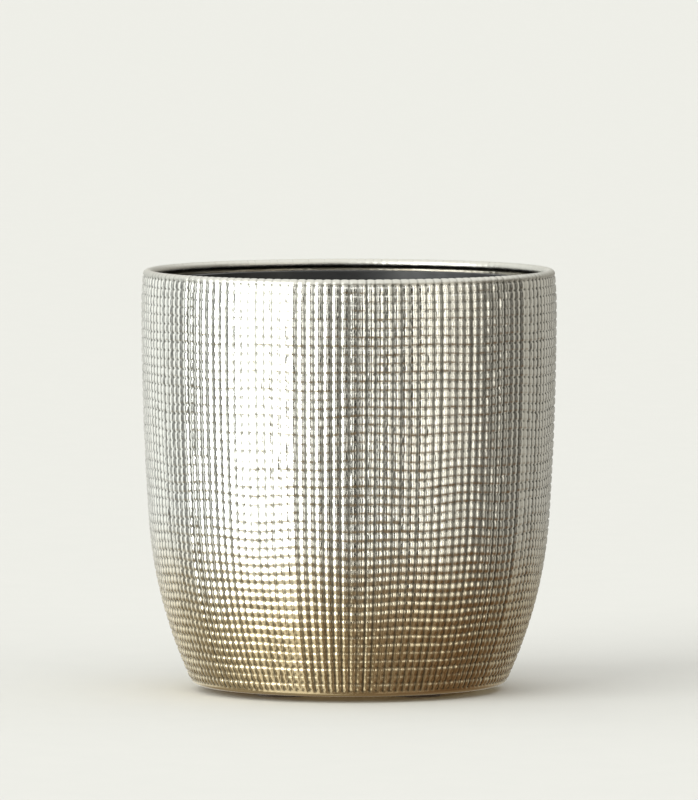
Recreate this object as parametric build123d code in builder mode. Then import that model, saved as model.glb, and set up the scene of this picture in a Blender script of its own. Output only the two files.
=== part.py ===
from build123d import *
import math
import os

# A round brass cover pot for a house plant, in millimetres.
# +Z is up. The origin is on the pot's axis, in the plane that its felt pads stand on.

os.makedirs("parts", exist_ok=True)

# ---------------------------------------------------------------- driving dimensions

# Shell: one pressed brass sheet. Its outer face is the crest of the embossed grid.
planter_height = 138.0
sheet = 1.0
belly_radius = 68.0
belly_height = 126.0
lip_arc_radius = 100.0
flank_arc_radius = 1040.0
heel_height = 57.0
heel_arc_radius = 150.0
foot_corner_radius = 3.2
flange_hole_radius = 42.0

# Rim: the sheet's top edge rolled inwards round a steel wire.
wire_radius = 0.6
wire_clearance = 0.02
curl_end_angle = 270.0

# Base: a soldered plate with a raised centre panel, on four felt pads.
plate_thickness = 1.2
plate_radius = 47.6
panel_radius = 18.0
panel_rise = 1.4
panel_slope = 2.0
solder_leg = 1.6
pad_radius = 8.0
pad_pitch_radius = 31.0
pad_stand_off = 2.0
pad_edge_round = 0.5
pad_count = 4

# Saucer: moulded plastic, with ribs that hold the grow pot up out of the run-off.
saucer_wall = 1.2
saucer_foot_height = 1.6
saucer_foot_radius = 40.0
saucer_floor_radius = 43.0
saucer_rim_radius = 48.5
saucer_height = 14.0
saucer_bead_radius = 1.1
saucer_corner_round = 2.0
rib_count = 6
rib_thickness = 1.8
rib_height = 12.4
rib_reach = 39.0
rib_hub_radius = 7.0
rib_edge_bevel = 0.3

# Grow pot: thin-walled moulded plastic nursery pot.
grow_height = 115.0
grow_wall = 1.0
grow_foot_radius = 43.5
grow_wall_top_radius = 57.4
grow_foot_width = 4.0
grow_floor_rise = 2.6
grow_collar_height = 13.5
grow_collar_step = 1.8
grow_collar_draft = 0.6
grow_lip_width = 1.3
grow_lip_height = 1.6
grow_lip_round = 0.4
grow_foot_round = 0.8
grow_collar_round = 1.2
drain_hole_count = 8
drain_hole_radius = 3.6
drain_pitch_radius = 32.0
centre_hole_radius = 5.0
stacking_rib_count = 8
stacking_rib_height = 16.0
stacking_rib_depth = 1.6
stacking_rib_thickness = 1.2

# ---------------------------------------------------------------- worked-out places

curl_inner_radius = wire_radius + wire_clearance
curl_outer_radius = curl_inner_radius + sheet

flange_underside = pad_stand_off
flange_top = flange_underside + sheet
plate_top = flange_top + plate_thickness
saucer_top = plate_top + saucer_height
grow_base = plate_top + saucer_foot_height + saucer_wall + rib_height
grow_top = grow_base + grow_height


def polar(centre, radius, angle):
    """The point at an angle in degrees on a circle in the half-section plane."""
    turn = math.radians(angle)
    return (centre[0] + radius * math.cos(turn), centre[1] + radius * math.sin(turn))


def arc_points(centre, radius, start, end):
    """Start, middle and end of an arc, for ThreePointArc."""
    return [polar(centre, radius, angle) for angle in (start, (start + end) / 2, end)]


def down_angle(drop, radius):
    """The angle below the horizontal at which an arc has dropped this far."""
    return -math.degrees(math.asin(drop / radius))


def corner_at(section, place):
    """The corner of a half section that lies nearest to a place in it."""
    return section.vertices().sort_by_distance((place[0], place[1], 0))[0]


# The wall is a chain of tangent arcs, so each centre follows from the last one.
lip_centre = (belly_radius - lip_arc_radius, belly_height)
flank_centre = (belly_radius - flank_arc_radius, belly_height)
flank_end = down_angle(belly_height - heel_height, flank_arc_radius)
heel_centre = polar(flank_centre, flank_arc_radius - heel_arc_radius, flank_end)
corner_level = flange_underside + foot_corner_radius
heel_end = down_angle(heel_centre[1] - corner_level, heel_arc_radius - foot_corner_radius)
corner_centre = polar(heel_centre, heel_arc_radius - foot_corner_radius, heel_end)
curl_level = planter_height - curl_outer_radius
lip_end = -down_angle(curl_level - belly_height, lip_arc_radius - curl_outer_radius)
curl_centre = polar(lip_centre, lip_arc_radius - curl_outer_radius, lip_end)


def wall_arcs(inset):
    """The wall's arcs from the foot up to the rim, offset into the sheet."""
    return [
        arc_points(corner_centre, foot_corner_radius - inset, -90, heel_end),
        arc_points(heel_centre, heel_arc_radius - inset, heel_end, flank_end),
        arc_points(flank_centre, flank_arc_radius - inset, flank_end, 0),
        arc_points(lip_centre, lip_arc_radius - inset, 0, lip_end),
        arc_points(curl_centre, curl_outer_radius - inset, lip_end, curl_end_angle),
    ]


outer_arcs = wall_arcs(0)
inner_arcs = wall_arcs(sheet)

# ---------------------------------------------------------------- pot shell

with BuildPart() as pot_shell:
    with BuildSketch(Plane.XZ):
        with BuildLine():
            for points in outer_arcs:
                ThreePointArc(*points)
            Line(outer_arcs[-1][-1], inner_arcs[-1][-1])
            for points in inner_arcs:
                ThreePointArc(*points)
            Polyline(
                outer_arcs[0][0],
                (flange_hole_radius, flange_underside),
                (flange_hole_radius, flange_top),
                inner_arcs[0][0],
            )
        make_face()
    revolve(axis=Axis.Z)

pot_shell.part.label = "pot_shell"
export_step(pot_shell.part, "parts/pot_shell.step")

# ---------------------------------------------------------------- rim wire

with BuildPart() as rim_wire:
    with BuildSketch(Plane.XZ):
        with Locations(curl_centre):
            Circle(wire_radius)
    revolve(axis=Axis.Z)

rim_wire.part.label = "rim_wire"
export_step(rim_wire.part, "parts/rim_wire.step")

# ---------------------------------------------------------------- base plate

# The plate lies on the shell's flange. Its centre is pressed up for stiffness.
with BuildPart() as base_plate:
    with BuildSketch(Plane.XZ):
        with BuildLine():
            Polyline(
                (0, flange_top + panel_rise),
                (panel_radius - panel_slope, flange_top + panel_rise),
                (panel_radius, flange_top),
                (plate_radius, flange_top),
                (plate_radius, plate_top),
                (panel_radius, plate_top),
                (panel_radius - panel_slope, plate_top + panel_rise),
                (0, plate_top + panel_rise),
                close=True,
            )
        make_face()
    revolve(axis=Axis.Z)

base_plate.part.label = "base_plate"
export_step(base_plate.part, "parts/base_plate.step")

# ---------------------------------------------------------------- solder ring

# A hollow fillet of solder that fills the corner between the plate and the wall.
solder_inner_edge = (plate_radius - solder_leg, plate_top)
wall_at_solder = inner_arcs[0][-1][0] + solder_leg * math.tan(math.radians(-heel_end))
solder_upper_edge = (wall_at_solder, inner_arcs[0][-1][1] + solder_leg)

with BuildPart() as solder_ring:
    with BuildSketch(Plane.XZ):
        with BuildLine():
            RadiusArc(solder_inner_edge, solder_upper_edge, -3 * solder_leg)
            Polyline(
                solder_upper_edge,
                (wall_at_solder + sheet / 2, solder_upper_edge[1]),
                (outer_arcs[0][0][0], flange_underside + sheet / 2),
                (solder_inner_edge[0], flange_underside + sheet / 2),
                solder_inner_edge,
            )
        make_face()
    revolve(axis=Axis.Z)
    add(pot_shell.part, mode=Mode.SUBTRACT)
    add(base_plate.part, mode=Mode.SUBTRACT)

solder_ring.part.label = "solder_ring"
export_step(solder_ring.part, "parts/solder_ring.step")

# ---------------------------------------------------------------- felt pads

# Stuck to the plate's underside, through the flange's opening.
for index in range(pad_count):
    bearing = math.radians((index + 0.5) * 360 / pad_count)
    pad_place = (pad_pitch_radius * math.cos(bearing), pad_pitch_radius * math.sin(bearing))
    with BuildPart() as felt_pad:
        with BuildSketch(Plane.XY):
            with Locations(pad_place):
                Circle(pad_radius)
        extrude(amount=flange_top)
        fillet(felt_pad.edges().group_by(Axis.Z)[0], radius=pad_edge_round)
    felt_pad.part.label = f"felt_pad_{index + 1}"
    export_step(felt_pad.part, f"parts/felt_pad_{index + 1}.step")

# ---------------------------------------------------------------- drip saucer

saucer_floor = plate_top + saucer_foot_height

with BuildPart() as drip_saucer:
    with BuildSketch(Plane.XZ) as saucer_section:
        with BuildLine():
            Polyline(
                (0, saucer_floor),
                (saucer_foot_radius - saucer_wall, saucer_floor),
                (saucer_foot_radius - saucer_wall, plate_top),
                (saucer_foot_radius, plate_top),
                (saucer_foot_radius, saucer_floor),
                (saucer_floor_radius, saucer_floor),
                (saucer_rim_radius, saucer_top - saucer_bead_radius),
                (saucer_rim_radius - saucer_wall, saucer_top - saucer_bead_radius),
                (saucer_floor_radius - saucer_wall, saucer_floor + saucer_wall),
                (0, saucer_floor + saucer_wall),
                close=True,
            )
        make_face()
        for place in (
            (saucer_floor_radius, saucer_floor),
            (saucer_floor_radius - saucer_wall, saucer_floor + saucer_wall),
        ):
            fillet(corner_at(saucer_section, place), radius=saucer_corner_round)
    revolve(axis=Axis.Z)
    # The rim is thickened into a round bead.
    with BuildSketch(Plane.XZ):
        with Locations((saucer_rim_radius - saucer_wall / 2, saucer_top - saucer_bead_radius)):
            Circle(saucer_bead_radius)
    revolve(axis=Axis.Z)
    # Ribs run out from a hub.
    with BuildSketch(Plane.XY.offset(saucer_floor + saucer_wall)):
        with PolarLocations(rib_reach / 2, rib_count):
            Rectangle(rib_reach, rib_thickness)
        Circle(rib_hub_radius)
        Circle(rib_hub_radius - rib_thickness, mode=Mode.SUBTRACT)
    extrude(amount=rib_height)
    chamfer(drip_saucer.edges().group_by(Axis.Z)[-1], length=rib_edge_bevel)

drip_saucer.part.label = "drip_saucer"
export_step(drip_saucer.part, "parts/drip_saucer.step")

# ---------------------------------------------------------------- grow pot

collar_base = grow_top - grow_collar_height
lip_base = grow_top - grow_lip_height
collar_radius = grow_wall_top_radius + grow_collar_step
collar_top_radius = collar_radius + grow_collar_draft
floor_level = grow_base + grow_floor_rise
foot_inner_radius = grow_foot_radius - grow_foot_width
wall_rise = collar_base - grow_base
wall_slope = (grow_wall_top_radius - grow_foot_radius) / wall_rise
floor_edge_radius = grow_foot_radius - grow_wall + wall_slope * grow_wall

with BuildPart() as grow_pot:
    with BuildSketch(Plane.XZ) as grow_section:
        with BuildLine():
            Polyline(
                (0, floor_level),
                (foot_inner_radius - grow_wall, floor_level),
                (foot_inner_radius, grow_base),
                (grow_foot_radius, grow_base),
                (grow_wall_top_radius, collar_base),
                (collar_radius, collar_base + grow_wall),
                (collar_top_radius, lip_base),
                (collar_top_radius + grow_lip_width, lip_base),
                (collar_top_radius + grow_lip_width, grow_top),
                (collar_top_radius - grow_wall, grow_top),
                (collar_radius - grow_wall, collar_base + 2 * grow_wall),
                (grow_wall_top_radius - grow_wall, collar_base + grow_wall),
                (floor_edge_radius, grow_base + grow_wall),
                (foot_inner_radius + grow_wall, grow_base + grow_wall),
                (foot_inner_radius, floor_level + grow_wall),
                (0, floor_level + grow_wall),
                close=True,
            )
        make_face()
        # The mould's rounded corners: foot, collar step and lip.
        for place, rounding in (
            ((grow_foot_radius, grow_base), grow_foot_round),
            ((collar_radius, collar_base + grow_wall), grow_collar_round),
            ((grow_wall_top_radius - grow_wall, collar_base + grow_wall), grow_collar_round),
            ((collar_top_radius + grow_lip_width, lip_base), grow_lip_round),
            ((collar_top_radius + grow_lip_width, grow_top), grow_lip_round),
            ((collar_top_radius - grow_wall, grow_top), grow_lip_round),
        ):
            fillet(corner_at(grow_section, place), radius=rounding)
    revolve(axis=Axis.Z)
    # Drain holes through the raised floor.
    with Locations(Location((0, 0, floor_level + grow_wall))):
        with PolarLocations(drain_pitch_radius, drain_hole_count):
            Hole(drain_hole_radius, depth=2 * grow_wall)
        Hole(centre_hole_radius, depth=2 * grow_wall)
    # Short ribs inside, below the collar, on which stacked pots rest.
    rib_top = collar_base
    rib_foot = rib_top - stacking_rib_height
    wall_at_top = grow_wall_top_radius - grow_wall / 2
    wall_at_foot = wall_at_top - wall_slope * stacking_rib_height
    for index in range(stacking_rib_count):
        turned = Plane.XZ.rotated((0, 0, (index + 0.5) * 360 / stacking_rib_count))
        with BuildSketch(turned):
            with BuildLine():
                Polyline(
                    (wall_at_foot, rib_foot),
                    (wall_at_top, rib_top),
                    (wall_at_top - stacking_rib_depth - grow_wall / 2, rib_top),
                    close=True,
                )
            make_face()
        extrude(amount=stacking_rib_thickness / 2, both=True)

grow_pot.part.label = "grow_pot"
export_step(grow_pot.part, "parts/grow_pot.step")
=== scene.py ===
import math

import bpy
import numpy as np
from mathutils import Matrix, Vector


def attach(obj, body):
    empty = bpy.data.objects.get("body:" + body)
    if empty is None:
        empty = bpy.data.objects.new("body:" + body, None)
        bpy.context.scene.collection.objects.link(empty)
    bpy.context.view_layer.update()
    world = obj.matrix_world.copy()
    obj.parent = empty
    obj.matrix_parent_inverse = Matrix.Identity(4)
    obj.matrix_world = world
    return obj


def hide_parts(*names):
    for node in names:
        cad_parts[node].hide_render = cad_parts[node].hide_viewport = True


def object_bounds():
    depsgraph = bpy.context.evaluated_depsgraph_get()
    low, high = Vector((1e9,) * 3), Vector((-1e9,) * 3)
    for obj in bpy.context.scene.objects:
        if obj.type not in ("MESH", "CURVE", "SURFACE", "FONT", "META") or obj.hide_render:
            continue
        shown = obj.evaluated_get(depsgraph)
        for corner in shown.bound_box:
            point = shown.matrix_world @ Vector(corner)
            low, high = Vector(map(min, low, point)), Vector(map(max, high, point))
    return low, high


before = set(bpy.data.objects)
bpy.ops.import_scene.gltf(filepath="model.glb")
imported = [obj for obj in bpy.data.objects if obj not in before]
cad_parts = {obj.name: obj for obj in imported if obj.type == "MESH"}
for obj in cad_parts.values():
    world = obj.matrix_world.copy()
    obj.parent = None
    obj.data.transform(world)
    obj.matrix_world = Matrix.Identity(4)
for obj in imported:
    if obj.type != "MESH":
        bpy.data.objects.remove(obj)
cad_low, cad_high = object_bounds()

MM = 0.001
SEED = 7

# ---------------------------------------------------------------- the shell's outline, in mm
# The same tangent arcs as the CAD shell. Its outer face touches the crests of the embossed grid.
# Heights are above the table, and radii are from the pot's axis or of the arcs themselves.

PLANTER_HEIGHT = 138.0
SHEET = 1.0
BELLY_RADIUS = 68.0
BELLY_HEIGHT = 126.0
LIP_ARC = 100.0
FLANK_ARC = 1040.0
HEEL_HEIGHT = 57.0
HEEL_ARC = 150.0
FOOT_CORNER = 3.2
FLANGE_HOLE = 42.0
FLANGE_UNDERSIDE = 2.0
FLANGE_EDGE = 0.15
CURL_INNER = 0.62
CURL_OUTER = CURL_INNER + SHEET

# ---------------------------------------------------------------- the embossed grid, in mm
# ROW_PITCH is fitted to the wall, so that it holds a whole number of rows.

COLUMNS = 150
ROW_PITCH = 2.85
# How far below the pot's top the first row runs.
PLAIN_LIP = 2.1
# A groove's half width, as a share of the pitch.
COLUMN_GROOVE_HALF_WIDTH = 0.27
ROW_GROOVE_HALF_WIDTH = 0.22
# How deep the grooves are, and how far the backs of the column grooves stand out inside.
COLUMN_GROOVE = 0.40
ROW_GROOVE = 0.38
RIM_GROOVE = 0.22
INNER_RIDGE = 0.28
# How steeply the ridges inside rise from nothing at both their ends.
RIDGE_ONSET = 2.5
# How far single points stray, across the face and along it. DEPTH_WAVER is a share of the depth.
CREST_WAVER = 0.032
GROOVE_WAVER = 0.07
DEPTH_WAVER = 0.1
# How much whole grooves differ in depth, as shares of it, and the least and most they may have.
COLUMN_UNEVEN = 0.22
ROW_UNEVEN = 0.12
SHALLOWEST, DEEPEST = 0.55, 1.45
# How far the rows sway, and the two waves that they follow: turns round the pot, and the mm down
# the wall for each radian.
ROW_SWAY = 0.3
SWAY_WAVES = [(9, 13), (14, -19)]
# How dark each kind of groove gets, partly as tarnish and partly as painted shade in the hollows.
# The rim's figure is for each mm of depth.
COLUMN_CAVITY = 0.9
ROW_CAVITY = 0.42
RIM_CAVITY = 2.5
# Straight steps along the lip, flank and heel, between which the wall's outline is read.
LIP_STEPS, FLANK_STEPS, HEEL_STEPS = 400, 1600, 1600


def polar(centre, radius, angle):
    """The point at an angle in degrees on a circle in the half section."""
    turn = math.radians(angle)
    return np.array([centre[0] + radius * math.cos(turn), centre[1] + radius * math.sin(turn)])


def rise_angle(rise, radius):
    """The angle in degrees above the horizontal at which an arc has risen this far."""
    return math.degrees(math.asin(rise / radius))


lip_centre = (BELLY_RADIUS - LIP_ARC, BELLY_HEIGHT)
flank_centre = (BELLY_RADIUS - FLANK_ARC, BELLY_HEIGHT)
flank_end = -rise_angle(BELLY_HEIGHT - HEEL_HEIGHT, FLANK_ARC)
heel_centre = polar(flank_centre, FLANK_ARC - HEEL_ARC, flank_end)
corner_level = FLANGE_UNDERSIDE + FOOT_CORNER
heel_end = -rise_angle(heel_centre[1] - corner_level, HEEL_ARC - FOOT_CORNER)
corner_centre = polar(heel_centre, HEEL_ARC - FOOT_CORNER, heel_end)
curl_level = PLANTER_HEIGHT - CURL_OUTER
lip_end = rise_angle(curl_level - BELLY_HEIGHT, LIP_ARC - CURL_OUTER)
curl_centre = polar(lip_centre, LIP_ARC - CURL_OUTER, lip_end)


def arc(centre, radius, start, end, steps):
    """Points along an arc, and the outward direction at each, angles in degrees."""
    turn = np.radians(np.linspace(start, end, steps + 1))
    out = np.stack([np.cos(turn), np.sin(turn)], axis=1)
    return np.array(centre) + radius * out, out


# ---------------------------------------------------------------- mesh helpers


def revolve(name, rings, columns, material_rows):
    """A closed mesh from rings of points. rings is an array (ring, column, xyz) in mm.

    The last ring joins the first one, so the outline is a closed loop and every face is a quad.
    material_rows has the material index of each ring of faces.
    """
    count = len(rings)
    mesh = bpy.data.meshes.new(name)
    ring, column = np.meshgrid(np.arange(count), np.arange(columns), indexing="ij")
    after, beside = (ring + 1) % count, (column + 1) % columns
    here, next_ring = ring * columns, after * columns
    corners = [here + column, here + beside, next_ring + beside, next_ring + column]
    faces = np.stack(corners, axis=-1).reshape(-1, 4)
    mesh.vertices.add(count * columns)
    mesh.vertices.foreach_set("co", (rings.reshape(-1) * MM).astype(np.float32))
    mesh.loops.add(faces.size)
    mesh.loops.foreach_set("vertex_index", faces.reshape(-1).astype(np.int32))
    mesh.polygons.add(len(faces))
    mesh.polygons.foreach_set("loop_start", np.arange(0, faces.size, 4, dtype=np.int32))
    mesh.update(calc_edges=True)
    mesh.polygons.foreach_set("use_smooth", np.ones(len(faces), bool))
    # A plain unrolled layout: once round is the width, once along the outline is the height.
    layout = mesh.uv_layers.new(name="OFBake")
    across = np.stack([column, column + 1, column + 1, column], axis=-1) / columns
    along = np.stack([ring, ring, ring + 1, ring + 1], axis=-1) / count
    layout.data.foreach_set("uv", np.stack([across, along], axis=-1).reshape(-1).astype(np.float32))
    mesh.polygons.foreach_set("material_index", np.repeat(material_rows, columns).astype(np.int32))
    mesh.validate()
    piece = bpy.data.objects.new(name, mesh)
    bpy.context.scene.collection.objects.link(piece)
    return piece


def point_attribute(piece, name, values):
    """Stores one number for each point, for a material to read."""
    attribute = piece.data.attributes.new(name, "FLOAT", "POINT")
    attribute.data.foreach_set("value", values.reshape(-1).astype(np.float32))


# ---------------------------------------------------------------- the embossed shell


def wall_path():
    """The outer face from the top of the lip arc down to the foot corner, densely."""
    parts = [
        arc(lip_centre, LIP_ARC, lip_end, 0, LIP_STEPS),
        arc(flank_centre, FLANK_ARC, 0, flank_end, FLANK_STEPS),
        arc(heel_centre, HEEL_ARC, flank_end, heel_end, HEEL_STEPS),
    ]
    points = np.concatenate([parts[0][0]] + [part[0][1:] for part in parts[1:]])
    out = np.concatenate([parts[0][1]] + [part[1][1:] for part in parts[1:]])
    length = np.concatenate([[0], np.cumsum(np.linalg.norm(np.diff(points, axis=0), axis=1))])
    return points, out, length


def uneven(rng, count, spread):
    """One factor near 1 for each groove: some are pressed a little deeper than others."""
    return np.clip(rng.normal(1, spread, count), SHALLOWEST, DEEPEST)


def make_shell():
    """The whole sheet as one closed mesh: embossed wall, foot, flange, inside and rolled rim."""
    rng = np.random.default_rng(SEED)
    points, out, length = wall_path()
    lip_length = PLAIN_LIP - CURL_OUTER
    rows = int(round((length[-1] - lip_length) / ROW_PITCH))
    pitch = (length[-1] - lip_length) / rows
    row_steps = np.array([0, ROW_GROOVE_HALF_WIDTH, 1 - ROW_GROOVE_HALF_WIDTH])
    column_steps = np.array([0, COLUMN_GROOVE_HALF_WIDTH, 1 - COLUMN_GROOVE_HALF_WIDTH])
    ring_places = np.append((np.arange(rows)[:, None] + row_steps).reshape(-1), rows)
    groove_first = np.array([1.0, 0, 0])
    row_strength = uneven(rng, rows, ROW_UNEVEN)
    ring_groove = np.append((row_strength[:, None] * groove_first).reshape(-1), 1.0)
    column_places = (np.arange(COLUMNS)[:, None] + column_steps).reshape(-1)
    column_strength = uneven(rng, COLUMNS, COLUMN_UNEVEN)
    column_groove = (column_strength[:, None] * groove_first).reshape(-1)
    columns = len(column_places)

    # The relief: rings down the wall, sunk where a groove runs.
    shape = (len(ring_places), columns)
    bearing = 2 * math.pi * column_places / COLUMNS
    down = lip_length + pitch * ring_places[:, None] + GROOVE_WAVER * rng.standard_normal(shape)
    sway = sum(np.sin(turns * bearing + down / slope) for turns, slope in SWAY_WAVES)
    down = down + ROW_SWAY * sway * np.sin(np.pi * down / length[-1])
    down = np.clip(down, 0, length[-1])
    radius = np.interp(down, length, points[:, 0])
    height = np.interp(down, length, points[:, 1])
    out_r = np.interp(down, length, out[:, 0])
    out_z = np.interp(down, length, out[:, 1])
    sunk = np.hypot(ROW_GROOVE * ring_groove[:, None], COLUMN_GROOVE * column_groove[None, :])
    depth = sunk * (1 + DEPTH_WAVER * rng.standard_normal(shape))
    depth = depth + np.abs(CREST_WAVER * rng.standard_normal(shape))
    relief_r = radius - depth * out_r
    relief_z = height - depth * out_z
    # How dark the grooves are coloured: partly tarnish, partly painted shade in the hollows.
    cavity = ROW_CAVITY * ring_groove[:, None] + COLUMN_CAVITY * column_groove[None, :]
    waver = GROOVE_WAVER / BELLY_RADIUS * rng.standard_normal(shape)

    # The rest of the outline, from the foot round the inside and back over the rim to the lip.
    # The last number of each arc is how many straight steps stand for it.
    inner_lip, _ = arc(lip_centre, LIP_ARC - SHEET, 0, lip_end, 4)
    inner_flank, _ = arc(flank_centre, FLANK_ARC - SHEET, flank_end, 0, 5)
    inner_heel, _ = arc(heel_centre, HEEL_ARC - SHEET, heel_end, flank_end, 8)
    inner_corner, _ = arc(corner_centre, FOOT_CORNER - SHEET, -90, heel_end, 4)
    outer_corner, _ = arc(corner_centre, FOOT_CORNER, heel_end, -90, 6)
    curl_inside, _ = arc(curl_centre, CURL_INNER, lip_end, 270, 8)
    curl_outside, curl_out = arc(curl_centre, CURL_OUTER, 270, lip_end, 20)
    flange = np.array(
        [
            (FLANGE_HOLE + FLANGE_EDGE, FLANGE_UNDERSIDE),
            (FLANGE_HOLE, FLANGE_UNDERSIDE + FLANGE_EDGE),
            (FLANGE_HOLE, FLANGE_UNDERSIDE + SHEET - FLANGE_EDGE),
            (FLANGE_HOLE + FLANGE_EDGE, FLANGE_UNDERSIDE + SHEET),
        ]
    )
    foot = np.concatenate([outer_corner[1:], flange, inner_corner])
    inner_wall = np.concatenate([inner_heel[1:], inner_flank[1:], inner_lip[1:]])
    outline = np.concatenate([foot, inner_wall, curl_inside[1:], curl_outside])
    plain_r = np.repeat(outline[:, :1], columns, axis=1)
    plain_z = np.repeat(outline[:, 1:], columns, axis=1)
    # The column grooves run on over the rolled rim and fade out towards its inner side.
    rim = len(curl_outside)
    rim_groove = RIM_GROOVE * np.linspace(0, 1, rim)[:, None] * column_groove[None, :]
    plain_r[-rim:] -= rim_groove * curl_out[:, :1]
    plain_z[-rim:] -= rim_groove * curl_out[:, 1:]
    # Inside, the backs of the column grooves are low ridges that fade out at the foot and the lip.
    ridges = slice(len(foot), len(foot) + len(inner_wall))
    fade = np.clip(RIDGE_ONSET * np.sin(np.linspace(0, np.pi, len(inner_wall))), 0, 1)
    plain_r[ridges] -= INNER_RIDGE * fade[:, None] * column_groove[None, :]
    all_r = np.concatenate([relief_r, plain_r])
    all_z = np.concatenate([relief_z, plain_z])
    turn = np.concatenate([bearing + waver, np.repeat(bearing[None, :], len(outline), axis=0)])
    rings = np.stack([all_r * np.sin(turn), -all_r * np.cos(turn), all_z], axis=-1)

    # The second material is on the inside, from the middle of the flange's edge to the curl.
    inside_start = len(relief_r) + len(outer_corner) - 1 + len(flange) // 2
    inside_end = len(all_r) - rim
    material_rows = np.zeros(len(all_r))
    material_rows[inside_start:inside_end] = 1
    shell = revolve("pot_shell_embossed", rings, columns, material_rows)
    # The rim's grooves are coloured dark the same way, partly tarnish and partly painted shade.
    rim_cavity = np.zeros(plain_r.shape)
    rim_cavity[-rim:] = RIM_CAVITY * rim_groove
    point_attribute(shell, "cavity", np.concatenate([cavity, rim_cavity]))
    return shell


# ---------------------------------------------------------------- material helpers


class Tree:
    """An emptied node tree, with short ways to add and join nodes."""

    def __init__(self, node_tree):
        self.nodes = node_tree.nodes
        self.links = node_tree.links
        self.nodes.clear()

    def feed(self, socket, value):
        """Joins an output to an input, or sets the input to a plain value."""
        if isinstance(value, bpy.types.NodeSocket):
            self.links.new(value, socket)
        else:
            socket.default_value = value

    def position(self):
        return self.nodes.new("ShaderNodeTexCoord").outputs["Object"]

    def height(self):
        separate = self.nodes.new("ShaderNodeSeparateXYZ")
        self.links.new(self.position(), separate.inputs[0])
        return separate.outputs["Z"]

    def noise(self, scale, detail=3.0, roughness=0.55):
        """Noise from 0 to 1 with this many patches to the metre."""
        noise = self.nodes.new("ShaderNodeTexNoise")
        noise.inputs["Scale"].default_value = scale
        noise.inputs["Detail"].default_value = detail
        noise.inputs["Roughness"].default_value = roughness
        self.links.new(self.position(), noise.inputs["Vector"])
        return noise.outputs[0]

    def span(self, value, low, high, to_low=0.0, to_high=1.0):
        """value from low to high, mapped smoothly on to to_low to to_high."""
        node = self.nodes.new("ShaderNodeMapRange")
        node.interpolation_type = "SMOOTHSTEP"
        self.feed(node.inputs["Value"], value)
        node.inputs["From Min"].default_value = low
        node.inputs["From Max"].default_value = high
        node.inputs["To Min"].default_value = to_low
        node.inputs["To Max"].default_value = to_high
        return node.outputs[0]

    def math(self, operation, first, second=0.0, third=0.0):
        node = self.nodes.new("ShaderNodeMath")
        node.operation = operation
        for socket, value in zip(node.inputs, (first, second, third)):
            self.feed(socket, value)
        return node.outputs[0]

    def mix(self, factor, first, second):
        node = self.nodes.new("ShaderNodeMix")
        node.data_type = "RGBA"
        self.feed(node.inputs[0], factor)
        self.feed(node.inputs[6], first)
        self.feed(node.inputs[7], second)
        return node.outputs[2]

    def vector(self, operation, first, second):
        node = self.nodes.new("ShaderNodeVectorMath")
        node.operation = operation
        self.feed(node.inputs[0], first)
        self.feed(node.inputs["Scale" if operation == "SCALE" else 1], second)
        return node.outputs[0]

    def scale(self, colour, factor):
        return self.vector("SCALE", colour, factor)

    def tint(self, colour, tone):
        return self.vector("MULTIPLY", colour, tone)

    def plus(self, colour, more):
        return self.vector("ADD", colour, more)

    def attribute(self, name):
        node = self.nodes.new("ShaderNodeAttribute")
        node.attribute_name = name
        return node.outputs["Fac"]


class Shader(Tree):
    """A material: its node tree, with a Principled surface at the end."""

    def __init__(self, name):
        self.material = bpy.data.materials.new(name)
        self.material.use_nodes = True
        super().__init__(self.material.node_tree)
        self.surface = self.nodes.new("ShaderNodeBsdfPrincipled")
        output = self.nodes.new("ShaderNodeOutputMaterial")
        self.links.new(self.surface.outputs[0], output.inputs[0])

    def set(self, **values):
        for key, value in values.items():
            self.surface.inputs[key.replace("_", " ")].default_value = value

    def colour(self, value):
        self.feed(self.surface.inputs["Base Color"], value)

    def roughness(self, value):
        self.feed(self.surface.inputs["Roughness"], value)

    def bump(self, value, strength, distance):
        node = self.nodes.new("ShaderNodeBump")
        node.inputs["Strength"].default_value = strength
        node.inputs["Distance"].default_value = distance
        self.feed(node.inputs["Height"], value)
        self.links.new(node.outputs[0], self.surface.inputs["Normal"])


# ---------------------------------------------------------------- materials, heights in metres

PALE_PLATE = (0.86, 0.855, 0.805, 1)
# The warm tone below is partly the brass's own and partly a painted reflection of a warm table top
# beneath the pot.
WARM_BRASS_AND_TABLE_REFLECTION = (0.80, 0.69, 0.48, 1)
# The dark groove tones are partly tarnish and partly painted shade in the grooves.
PALE_TARNISH_AND_GROOVE_SHADE = (0.11, 0.108, 0.09, 1)
WARM_TARNISH_AND_GROOVE_SHADE = (0.13, 0.105, 0.065, 1)
MOTTLE = (0.5, 0.46, 0.38, 1)
HANDLED = (0.42, 0.41, 0.37, 1)
# How much of each of those tones shows at most, and how much it adds to the roughness.
MOTTLE_SHARE, HANDLED_SHARE, TARNISH_AND_SHADE_SHARE = 0.16, 0.6, 0.9
HANDLED_DULLNESS, TARNISH_DULLNESS = 0.25, 0.3
# The plate is pale above the first height and warm below the second, and the line between drifts.
# The warm part is partly the brass's own tone and partly a painted reflection of a warm table top.
PALE_FROM, WARM_FROM = 0.062, 0.018
WARMTH_DRIFT = 0.02
# The rolled rim is handled most, so it gets duller than the wall between these heights.
RIM_FROM, RIM_TO = 0.1355, 0.1368


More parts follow.
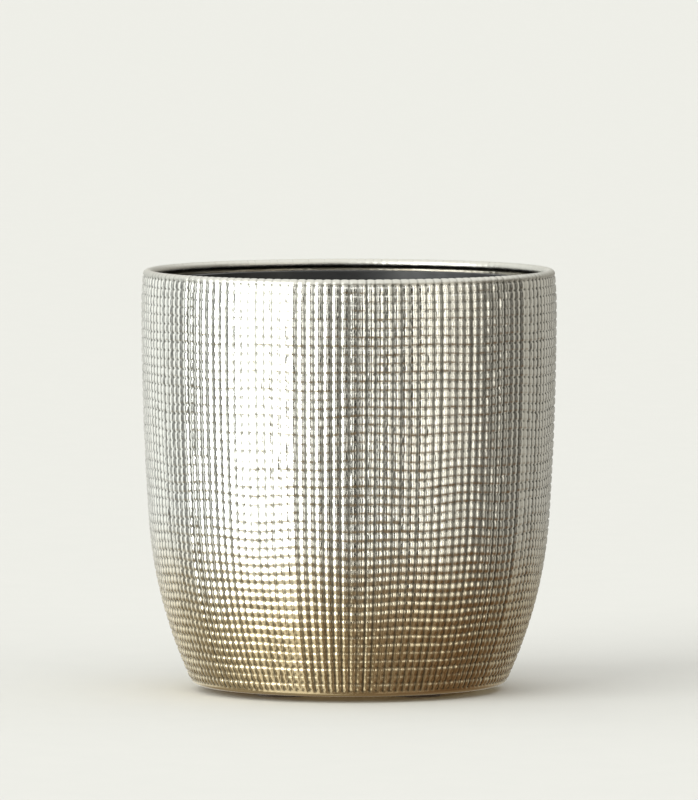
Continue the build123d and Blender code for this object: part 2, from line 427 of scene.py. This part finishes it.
def embossed_plate():
    s = Shader("embossed_plate")
    s.set(Metallic=1.0)
    drift = s.math("MULTIPLY", s.math("SUBTRACT", s.noise(45.0), 0.5), WARMTH_DRIFT)
    # Warmer towards the bottom: partly brass tone, partly a painted reflection of a warm table top.
    brass_and_reflection_warmth = s.span(s.math("ADD", s.height(), drift), PALE_FROM, WARM_FROM)
    plate = s.mix(brass_and_reflection_warmth, PALE_PLATE, WARM_BRASS_AND_TABLE_REFLECTION)
    plate = s.mix(s.span(s.noise(160.0, 4.0), 0.35, 0.75, 0.0, MOTTLE_SHARE), plate, MOTTLE)
    handled = s.span(s.height(), RIM_FROM, RIM_TO)
    plate = s.mix(s.math("MULTIPLY", handled, HANDLED_SHARE), plate, HANDLED)
    # The grooves are darker and duller than the crests. The darkening is partly tarnish and partly
    # painted shade.
    tarnish_and_shade = s.span(s.attribute("cavity"), 0.1, 1.0, 0.0, TARNISH_AND_SHADE_SHARE)
    s.colour(s.mix(tarnish_and_shade, plate, s.mix(brass_and_reflection_warmth, PALE_TARNISH_AND_GROOVE_SHADE, WARM_TARNISH_AND_GROOVE_SHADE)))
    polish = s.span(s.noise(220.0, 4.0), 0.3, 0.75, 0.13, 0.22)
    rim_dullness = s.math("MULTIPLY", handled, HANDLED_DULLNESS)
    dulled = s.math("MULTIPLY_ADD", tarnish_and_shade, TARNISH_DULLNESS, rim_dullness)
    s.roughness(s.math("ADD", polish, dulled))
    s.bump(s.noise(1500.0, 2.0), 0.12, 0.00004)
    return s.material


def plate_lining():
    s = Shader("plate_lining")
    s.set(Metallic=1.0)
    stain = s.span(s.noise(60.0, 5.0), 0.4, 0.7)
    s.colour(s.mix(stain, (0.72, 0.68, 0.58, 1), (0.5, 0.44, 0.34, 1)))
    s.roughness(s.span(s.noise(90.0, 4.0), 0.3, 0.7, 0.28, 0.45))
    # The backs of the row grooves. Those of the column grooves are in the mesh.
    rows = s.math("COSINE", s.math("MULTIPLY", s.height(), 2 * math.pi / (ROW_PITCH * MM)))
    s.bump(s.math("MULTIPLY_ADD", s.noise(400.0, 3.0), 0.6, rows), 0.5, 0.00012)
    return s.material


def plain_brass():
    s = Shader("plain_brass")
    s.set(Metallic=1.0)
    stain = s.span(s.noise(70.0, 5.0), 0.35, 0.75)
    s.colour(s.mix(stain, (0.74, 0.56, 0.28, 1), (0.42, 0.28, 0.13, 1)))
    s.roughness(s.span(s.noise(120.0, 4.0), 0.3, 0.7, 0.25, 0.42))
    s.bump(s.noise(900.0, 3.0), 0.15, 0.00005)
    return s.material


def steel_wire():
    s = Shader("steel_wire")
    s.set(Metallic=1.0)
    s.colour(s.mix(s.noise(300.0), (0.5, 0.5, 0.5, 1), (0.62, 0.61, 0.6, 1)))
    s.roughness(s.span(s.noise(600.0), 0.3, 0.7, 0.3, 0.5))
    return s.material


def solder():
    s = Shader("solder")
    s.set(Metallic=1.0)
    s.colour(s.mix(s.noise(250.0), (0.45, 0.45, 0.44, 1), (0.66, 0.66, 0.64, 1)))
    s.roughness(s.span(s.noise(200.0), 0.3, 0.7, 0.4, 0.6))
    s.bump(s.noise(350.0, 2.0), 0.5, 0.0003)
    return s.material


def felt():
    s = Shader("felt")
    s.set(Sheen_Weight=0.4, Sheen_Roughness=0.5)
    fibres = s.noise(2200.0, 6.0, 0.7)
    s.colour(s.mix(fibres, (0.06, 0.045, 0.035, 1), (0.2, 0.15, 0.11, 1)))
    s.roughness(s.span(s.noise(900.0), 0.3, 0.7, 0.85, 1.0))
    s.bump(s.noise(3000.0, 6.0, 0.7), 0.8, 0.0003)
    return s.material


def grow_pot_plastic():
    s = Shader("grow_pot_plastic")
    wear = s.span(s.noise(80.0, 5.0), 0.55, 0.8)
    s.colour(s.mix(wear, (0.012, 0.012, 0.013, 1), (0.03, 0.029, 0.027, 1)))
    s.roughness(s.span(s.noise(140.0, 4.0), 0.3, 0.7, 0.36, 0.52))
    s.bump(s.noise(1800.0, 3.0), 0.25, 0.00006)
    return s.material


def saucer_plastic():
    s = Shader("saucer_plastic")
    wear = s.span(s.noise(90.0, 5.0), 0.45, 0.75)
    s.colour(s.mix(wear, (0.16, 0.17, 0.16, 1), (0.24, 0.23, 0.2, 1)))
    s.roughness(s.span(s.noise(150.0, 4.0), 0.3, 0.7, 0.38, 0.55))
    s.bump(s.noise(1800.0, 3.0), 0.2, 0.00006)
    return s.material


def finish_node(name, material):
    """Gives a CAD node, which keeps its shape, its own material."""
    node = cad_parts[name]
    node.data.materials.clear()
    node.data.materials.append(material)


FELT_PADS = 4

shell = make_shell()
shell.data.materials.append(embossed_plate())
shell.data.materials.append(plate_lining())
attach(shell, "planter")
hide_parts("pot_shell")

finish_node("rim_wire", steel_wire())
finish_node("base_plate", plain_brass())
finish_node("solder_ring", solder())
felt_material = felt()
for index in range(FELT_PADS):
    finish_node(f"felt_pad_{index + 1}", felt_material)
finish_node("drip_saucer", saucer_plastic())
finish_node("grow_pot", grow_pot_plastic())

# ---------------------------------------------------------------- floor, light and camera

FLOOR_RADIUS = 40.0
FLOOR_SIDES = 96


def make_floor():
    """A pale matt floor. The metal reflects the room's table tone instead of it."""
    bpy.ops.mesh.primitive_circle_add(vertices=FLOOR_SIDES, radius=FLOOR_RADIUS, fill_type="NGON",
                                    location=(0, 0, 0))
    floor = bpy.context.object
    floor.name = "floor"
    s = Shader("floor")
    s.colour(s.mix(s.noise(60.0, 3.0), (0.60, 0.60, 0.585, 1), (0.62, 0.617, 0.60, 1)))
    s.set(Roughness=0.7, Specular_IOR_Level=0.0)
    floor.data.materials.append(s.material)
    floor.visible_glossy = False


# The room's brightness by bearing round the pot, in degrees: 0 is towards the camera, and 90 is
# to the right in the picture.
ROOM = [
    (-180, 0.80), (-140, 1.0), (-124, 1.25), (-108, 1.15), (-101, 0.20), (-86, 0.20),
    (-80, 0.7), (-75, 7.0), (-28, 7.0), (-23, 0.5), (-19, 0.06), (-8, 0.08),
    (-5, 1.6), (3, 1.5), (6, 0.04), (24, 0.04), (28, 2.3), (37, 2.2),
    (40, 0.70), (54, 0.66), (57, 1.9), (63, 1.8), (66, 0.42), (86, 0.28),
    (92, 0.06), (99, 0.10), (108, 0.50), (130, 0.52), (180, 0.46),
]
# The brightest level in ROOM. A colour ramp holds no more than 1.
ROOM_TOP = 7.0
# The light's colour from the left and from the right.
LEFT_TINT = (0.97, 1.0, 0.98, 1)
RIGHT_TINT = (1.0, 0.955, 0.84, 1)
# Above, the room fades into an even ceiling between these elevations, in degrees.
CEILING = (1.35, 1.35, 1.3, 1)
CEILING_FROM, CEILING_TO = 16, 46
# Below the horizon it fades into a warm table top, with some of the room's light on it.
TABLE_FROM, TABLE_TO = -9, -32
TABLE_LEFT = (0.24, 0.20, 0.13, 1)
TABLE_RIGHT = (0.12, 0.065, 0.028, 1)
TABLE_SHEEN = (0.10, 0.095, 0.085)
# Looked at directly, past the floor's far edge, the room is plain and pale.
BACKDROP = (0.858, 0.859, 0.801, 1)


def make_world():
    """The studio: one soft light all round, whose brightness depends on the bearing."""
    world = bpy.data.worlds.new("studio")
    bpy.context.scene.world = world
    world.use_nodes = True
    s = Tree(world.node_tree)
    direction = s.nodes.new("ShaderNodeTexCoord").outputs["Generated"]
    separate = s.nodes.new("ShaderNodeSeparateXYZ")
    s.links.new(direction, separate.inputs[0])
    toward = s.math("MULTIPLY", separate.outputs["Y"], -1.0)
    bearing = s.math("ARCTAN2", separate.outputs["X"], toward)
    elevation = s.math("ARCSINE", separate.outputs["Z"])
    around = s.math("ADD", s.math("DIVIDE", bearing, 2 * math.pi), 0.5)
    ramp = s.nodes.new("ShaderNodeValToRGB")
    ramp.color_ramp.interpolation = "EASE"
    elements = ramp.color_ramp.elements
    for index, (degrees, level) in enumerate(ROOM):
        # A new ramp has two elements. The rest are added, in order of bearing.
        place = degrees / 360 + 0.5
        element = elements[index] if index < 2 else elements.new(place)
        element.position = place
        element.color = (level / ROOM_TOP,) * 3 + (1,)
    s.links.new(around, ramp.inputs[0])
    background = s.nodes.new("ShaderNodeBackground")
    output = s.nodes.new("ShaderNodeOutputWorld")
    rightness = s.math("MULTIPLY_ADD", s.math("SINE", bearing), 0.5, 0.5)
    tint = s.mix(rightness, LEFT_TINT, RIGHT_TINT)
    room = s.tint(s.scale(ramp.outputs[0], ROOM_TOP), tint)
    rising = s.span(elevation, math.radians(CEILING_FROM), math.radians(CEILING_TO))
    above = s.mix(rising, room, CEILING)
    table = s.plus(s.tint(room, TABLE_SHEEN), s.mix(rightness, TABLE_LEFT, TABLE_RIGHT))
    sinking = s.span(elevation, math.radians(TABLE_FROM), math.radians(TABLE_TO))
    below = s.mix(sinking, above, table)
    seen_directly = s.nodes.new("ShaderNodeLightPath").outputs["Is Camera Ray"]
    s.links.new(s.mix(seen_directly, below, BACKDROP), background.inputs["Color"])
    s.links.new(background.outputs[0], output.inputs[0])


# Degrees, then metres. FRAME_HEIGHT is what the picture's longer side shows at the pot.
CAMERA_ELEVATION = 3.7
CAMERA_DISTANCE = 3.5
FRAME_HEIGHT = 0.262
# How far above the pot's middle the camera looks.
TARGET_LIFT = 0.026
# The sensor's width in mm.
SENSOR = 36.0


def make_camera():
    """The photograph's view: almost level, from far enough away to flatten the pot's ellipses."""
    data = bpy.data.cameras.new("camera")
    data.sensor_width = SENSOR
    data.lens = SENSOR * CAMERA_DISTANCE / FRAME_HEIGHT
    camera = bpy.data.objects.new("camera", data)
    bpy.context.scene.collection.objects.link(camera)
    target = Vector((0, 0, (cad_low.z + cad_high.z) / 2 + TARGET_LIFT))
    lift = math.radians(CAMERA_ELEVATION)
    back = Vector((0, -math.cos(lift), math.sin(lift)))
    camera.location = target + back * CAMERA_DISTANCE
    camera.rotation_mode = "QUATERNION"
    camera.rotation_quaternion = (-back).to_track_quat("-Z", "Y")
    bpy.context.scene.camera = camera


make_floor()
make_world()
make_camera()
bpy.context.scene.view_settings.view_transform = "Standard"
